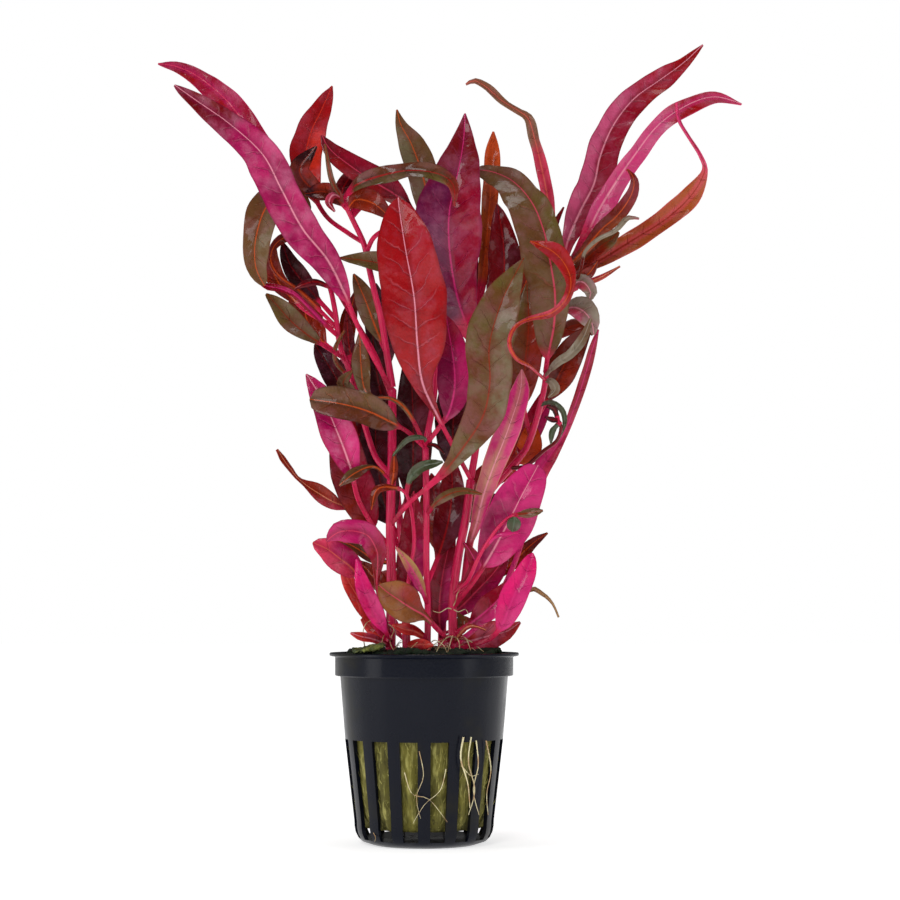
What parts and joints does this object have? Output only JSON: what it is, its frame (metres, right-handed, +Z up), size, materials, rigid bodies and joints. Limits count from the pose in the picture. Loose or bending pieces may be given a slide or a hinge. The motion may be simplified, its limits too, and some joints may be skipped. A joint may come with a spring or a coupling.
{
  "type": "potted aquarium plant",
  "caption": "Bushy aquarium plant with narrow red, pink and olive leaves on pink stems, rooted in mineral wool in a small slotted net pot.",
  "frame": {"origin": "middle of the pot's flat base, on the surface that it stands on", "axes": "+Z up along the stems, -Y towards the side seen in the picture, +X to the right in it"},
  "size_m": [0.1733, 0.0847, 0.2349],
  "materials": {
    "pot_black": "satin",
    "wool": "matte",
    "stem_pink": "satin",
    "leaf_red": "satin",
    "leaf_crimson": "satin",
    "leaf_maroon": "satin",
    "leaf_plum": "satin",
    "leaf_magenta": "satin",
    "leaf_pink": "satin",
    "leaf_salmon": "satin",
    "leaf_rust": "satin",
    "leaf_brown": "satin",
    "leaf_olive": "satin"
  },
  "bodies": {
    "root": {"pot": "pot_black", "rockwool_plug": "wool", "stem_left": "stem_pink", "stem_left_upper": "stem_pink", "stem_left_shoot": "stem_pink", "stem_centre": "stem_pink", "stem_centre_upper": "stem_pink", "stem_right": "stem_pink", "stem_right_upper": "stem_pink", "stem_right_outer": "stem_pink", "stem_right_far": "stem_pink", "stem_back_left": "stem_pink", "stem_back_right": "stem_pink", "shoot_front_thin": "stem_pink", "shoot_front_small": "stem_pink", "shoot_dark_sprig": "leaf_maroon", "leaf_top_left_back": "leaf_magenta", "leaf_top_left_front": "leaf_magenta", "leaf_left_red_upright": "leaf_red", "leaf_middle_shiny": "leaf_red", "leaf_middle_olive_arch": "leaf_olive", "leaf_middle_brown": "leaf_brown", "leaf_middle_plum": "leaf_plum", "leaf_middle_orange_tip": "leaf_rust", "leaf_front_red": "leaf_red", "leaf_left_drooping": "leaf_brown", "leaf_left_rust_long": "leaf_rust", "leaf_left_olive": "leaf_olive", "leaf_left_dark": "leaf_maroon", "leaf_left_brown_oval": "leaf_brown", "leaf_left_pink": "leaf_magenta", "leaf_left_crimson_broad": "leaf_crimson", "leaf_left_inner": "leaf_maroon", "leaf_left_narrow": "leaf_salmon", "leaf_left_hood": "leaf_crimson", "leaf_low_left_salmon": "leaf_salmon", "leaf_low_left_red": "leaf_red", "leaf_low_left_pink": "leaf_pink", "leaf_low_front_oval": "leaf_salmon", "leaf_front_olive": "leaf_olive", "leaf_front_magenta": "leaf_magenta", "leaf_middle_dark_red": "leaf_crimson", "leaf_right_rust_inner": "leaf_rust", "leaf_centre_crimson": "leaf_crimson", "leaf_right_twisted": "leaf_rust", "leaf_top_right_broad": "leaf_magenta", "leaf_top_right_arching": "leaf_magenta", "leaf_top_right_curled": "leaf_crimson", "leaf_right_olive_arch": "leaf_olive", "leaf_right_rust_curl": "leaf_rust", "leaf_right_looped": "leaf_red", "leaf_right_dark_rust": "leaf_rust", "leaf_right_pink_narrow": "leaf_magenta", "leaf_right_long_thin": "leaf_rust", "leaf_low_right_pink": "leaf_magenta", "leaf_low_right_rust": "leaf_rust", "leaf_low_right_hot_pink": "leaf_pink", "leaf_low_right_crimson": "leaf_red", "leaf_back_tall": "leaf_crimson", "leaf_back_right": "leaf_rust"}
  },
  "joints": []
}
